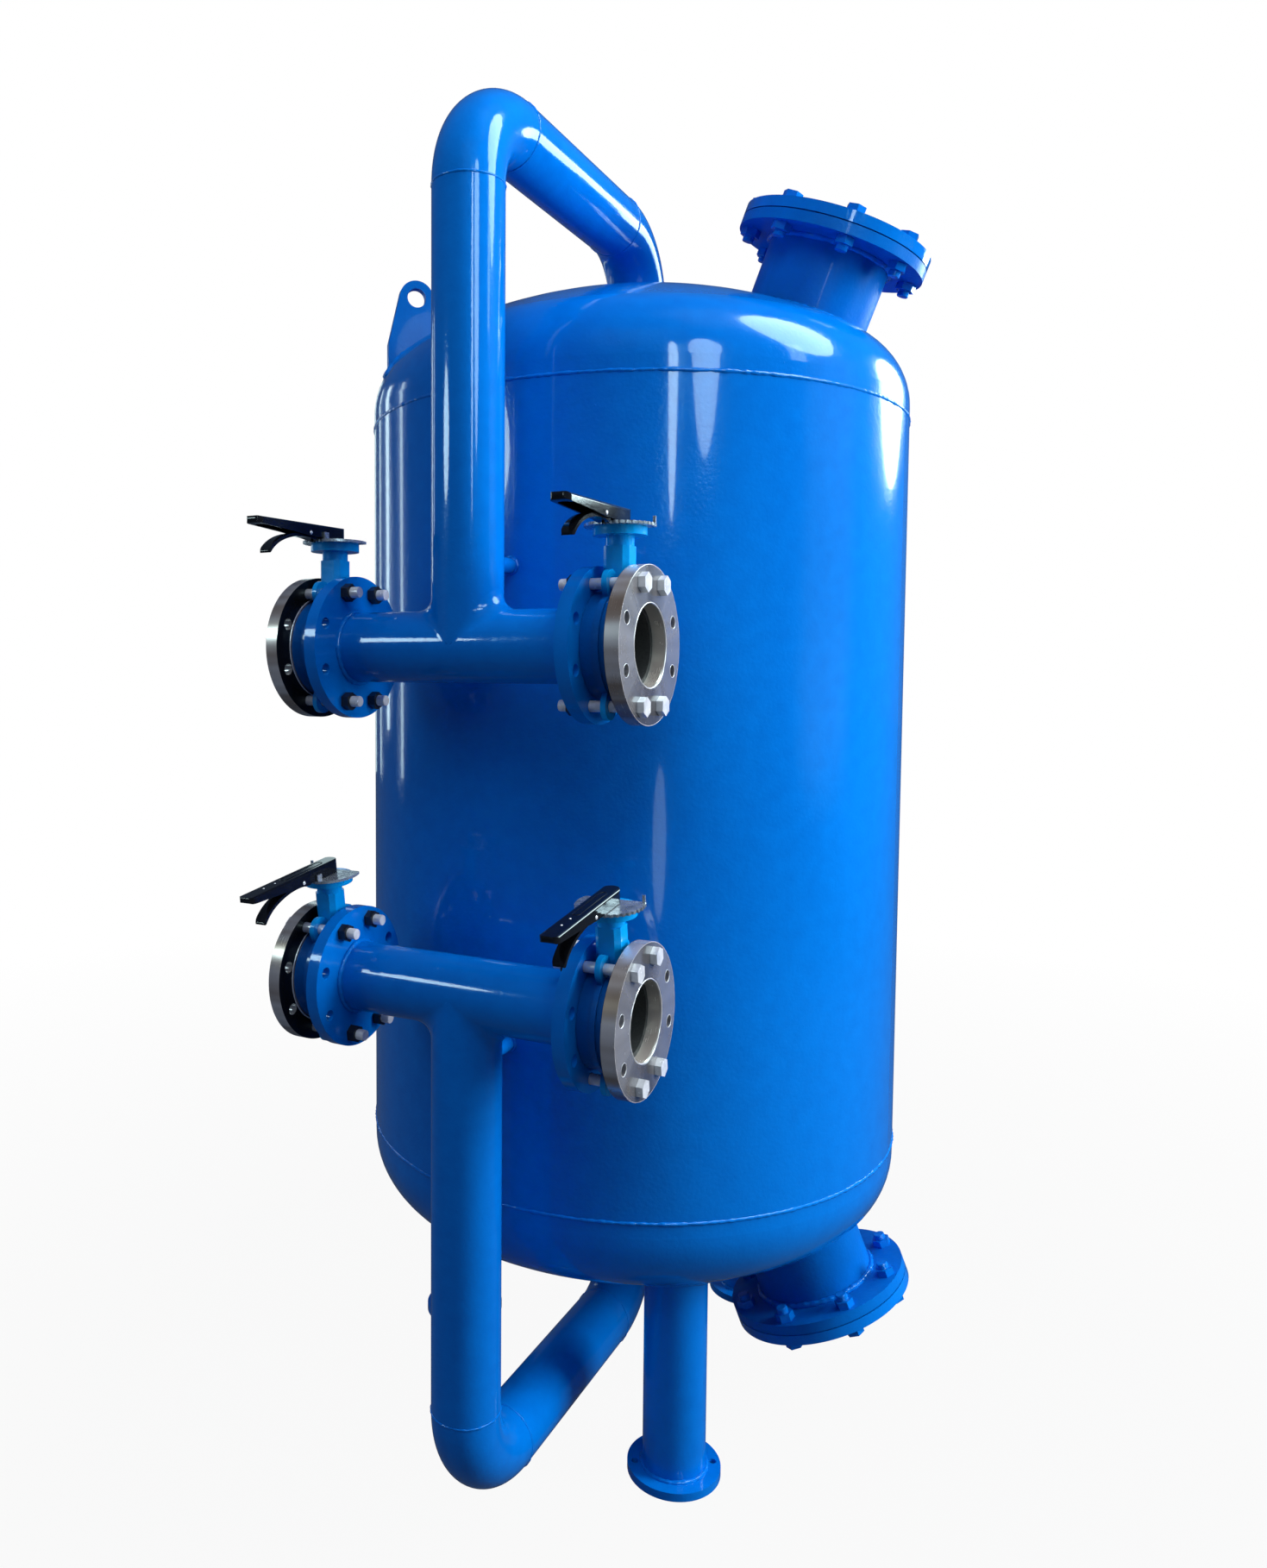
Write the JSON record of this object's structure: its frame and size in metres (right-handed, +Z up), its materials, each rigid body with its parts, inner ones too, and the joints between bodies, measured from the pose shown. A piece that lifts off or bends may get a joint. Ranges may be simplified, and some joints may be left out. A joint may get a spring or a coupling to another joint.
{
  "type": "sand filter",
  "caption": "Upright steel pressure vessel on three pipe legs, with a front manifold of lever butterfly valves, bolted hand holes and lifting lugs.",
  "frame": {"origin": "where the vessel's axis meets the floor, at the centre of the three feet's anchor holes", "axes": "+Z up along the vessel's axis; the valve manifold is on the -Y side with its headers along X; the hand holes lean to +X"},
  "size_m": [1.0435, 1.3549, 2.249],
  "materials": {
    "blue_enamel": "gloss",
    "valve_enamel": "gloss",
    "stainless": "machined",
    "disc_steel": "satin",
    "black_enamel": "gloss",
    "plate_steel": "zinc plated",
    "zinc": "zinc plated",
    "seal_rubber": "matte",
    "filter_sand": "loose grain",
    "filter_gravel": "loose stones",
    "nozzle_plastic": "matte"
  },
  "bodies": {
    "vessel": {"bottom_head": "blue_enamel", "filter_nozzles": "nozzle_plastic", "front_foot": "blue_enamel", "front_leg": "blue_enamel", "gravel_bed": "filter_gravel", "hatch_bolts": "blue_enamel", "hatch_nuts": "blue_enamel", "index_plates": "plate_steel", "inlet_spreader": "blue_enamel", "left_foot": "blue_enamel", "left_leg": "blue_enamel", "left_lifting_lug": "blue_enamel", "lower_crossover": "blue_enamel", "lower_front_bend": "blue_enamel", "lower_hatch_cover": "blue_enamel", "lower_hatch_gasket": "seal_rubber", "lower_hatch_neck": "blue_enamel", "lower_header": "blue_enamel", "lower_left_counter_flange": "stainless", "lower_left_valve_body": "valve_enamel", "lower_rear_bend": "blue_enamel", "lower_right_counter_flange": "stainless", "lower_right_valve_body": "valve_enamel", "lower_riser": "blue_enamel", "nozzle_tray": "blue_enamel", "rear_foot": "blue_enamel", "rear_leg": "blue_enamel", "right_lifting_lug": "blue_enamel", "riser_stays": "blue_enamel", "sand_bed": "filter_sand", "seat_liners": "seal_rubber", "shell": "blue_enamel", "top_head": "blue_enamel", "upper_crossover": "blue_enamel", "upper_front_bend": "blue_enamel", "upper_hatch_cover": "blue_enamel", "upper_hatch_gasket": "seal_rubber", "upper_hatch_neck": "blue_enamel", "upper_header": "blue_enamel", "upper_left_counter_flange": "stainless", "upper_left_valve_body": "valve_enamel", "upper_rear_bend": "blue_enamel", "upper_right_counter_flange": "stainless", "upper_right_valve_body": "valve_enamel", "upper_riser": "blue_enamel", "valve_bolts": "zinc", "valve_nuts": "zinc"},
    "upper_left_handle": {"upper_left_lever": "black_enamel", "upper_left_valve_disc": "disc_steel"},
    "upper_left_squeeze": {"upper_left_trigger": "black_enamel"},
    "upper_right_handle": {"upper_right_lever": "black_enamel", "upper_right_valve_disc": "disc_steel"},
    "upper_right_squeeze": {"upper_right_trigger": "black_enamel"},
    "lower_left_handle": {"lower_left_lever": "black_enamel", "lower_left_valve_disc": "disc_steel"},
    "lower_left_squeeze": {"lower_left_trigger": "black_enamel"},
    "lower_right_handle": {"lower_right_lever": "black_enamel", "lower_right_valve_disc": "disc_steel"},
    "lower_right_squeeze": {"lower_right_trigger": "black_enamel"}
  },
  "joints": [
    {"name": "upper_left_valve_turn", "type": "hinge", "parent": "vessel", "child": "upper_left_handle", "pos_m": [-0.244, -0.634, 1.41], "axis": [0, 0, 1], "range_deg": [-90, 0]},
    {"name": "upper_left_trigger_squeeze", "type": "hinge", "parent": "upper_left_handle", "child": "upper_left_squeeze", "pos_m": [-0.244, -0.71, 1.582], "axis": [-1, 0, 0], "range_deg": [0, 12], "stiffness_Nm_per_rad": 0.6, "springref_deg": -17.19},
    {"name": "upper_right_valve_turn", "type": "hinge", "parent": "vessel", "child": "upper_right_handle", "pos_m": [0.244, -0.634, 1.41], "axis": [0, 0, 1], "range_deg": [0, 90]},
    {"name": "upper_right_trigger_squeeze", "type": "hinge", "parent": "upper_right_handle", "child": "upper_right_squeeze", "pos_m": [0.244, -0.71, 1.582], "axis": [-1, 0, 0], "range_deg": [0, 12], "stiffness_Nm_per_rad": 0.6, "springref_deg": -17.19},
    {"name": "lower_left_valve_turn", "type": "hinge", "parent": "vessel", "child": "lower_left_handle", "pos_m": [-0.244, -0.634, 0.89], "axis": [0, -0.1305, 0.9914], "range_deg": [-90, 0]},
    {"name": "lower_left_trigger_squeeze", "type": "hinge", "parent": "lower_left_handle", "child": "lower_left_squeeze", "pos_m": [-0.244, -0.7318, 1.05061], "axis": [-1, 0, 0], "range_deg": [0, 12], "stiffness_Nm_per_rad": 0.6, "springref_deg": -17.19},
    {"name": "lower_right_valve_turn", "type": "hinge", "parent": "vessel", "child": "lower_right_handle", "pos_m": [0.244, -0.634, 0.89], "axis": [0, -0.1305, 0.9914], "range_deg": [0, 90]},
    {"name": "lower_right_trigger_squeeze", "type": "hinge", "parent": "lower_right_handle", "child": "lower_right_squeeze", "pos_m": [0.244, -0.7318, 1.05061], "axis": [-1, 0, 0], "range_deg": [0, 12], "stiffness_Nm_per_rad": 0.6, "springref_deg": -17.19}
  ]
}
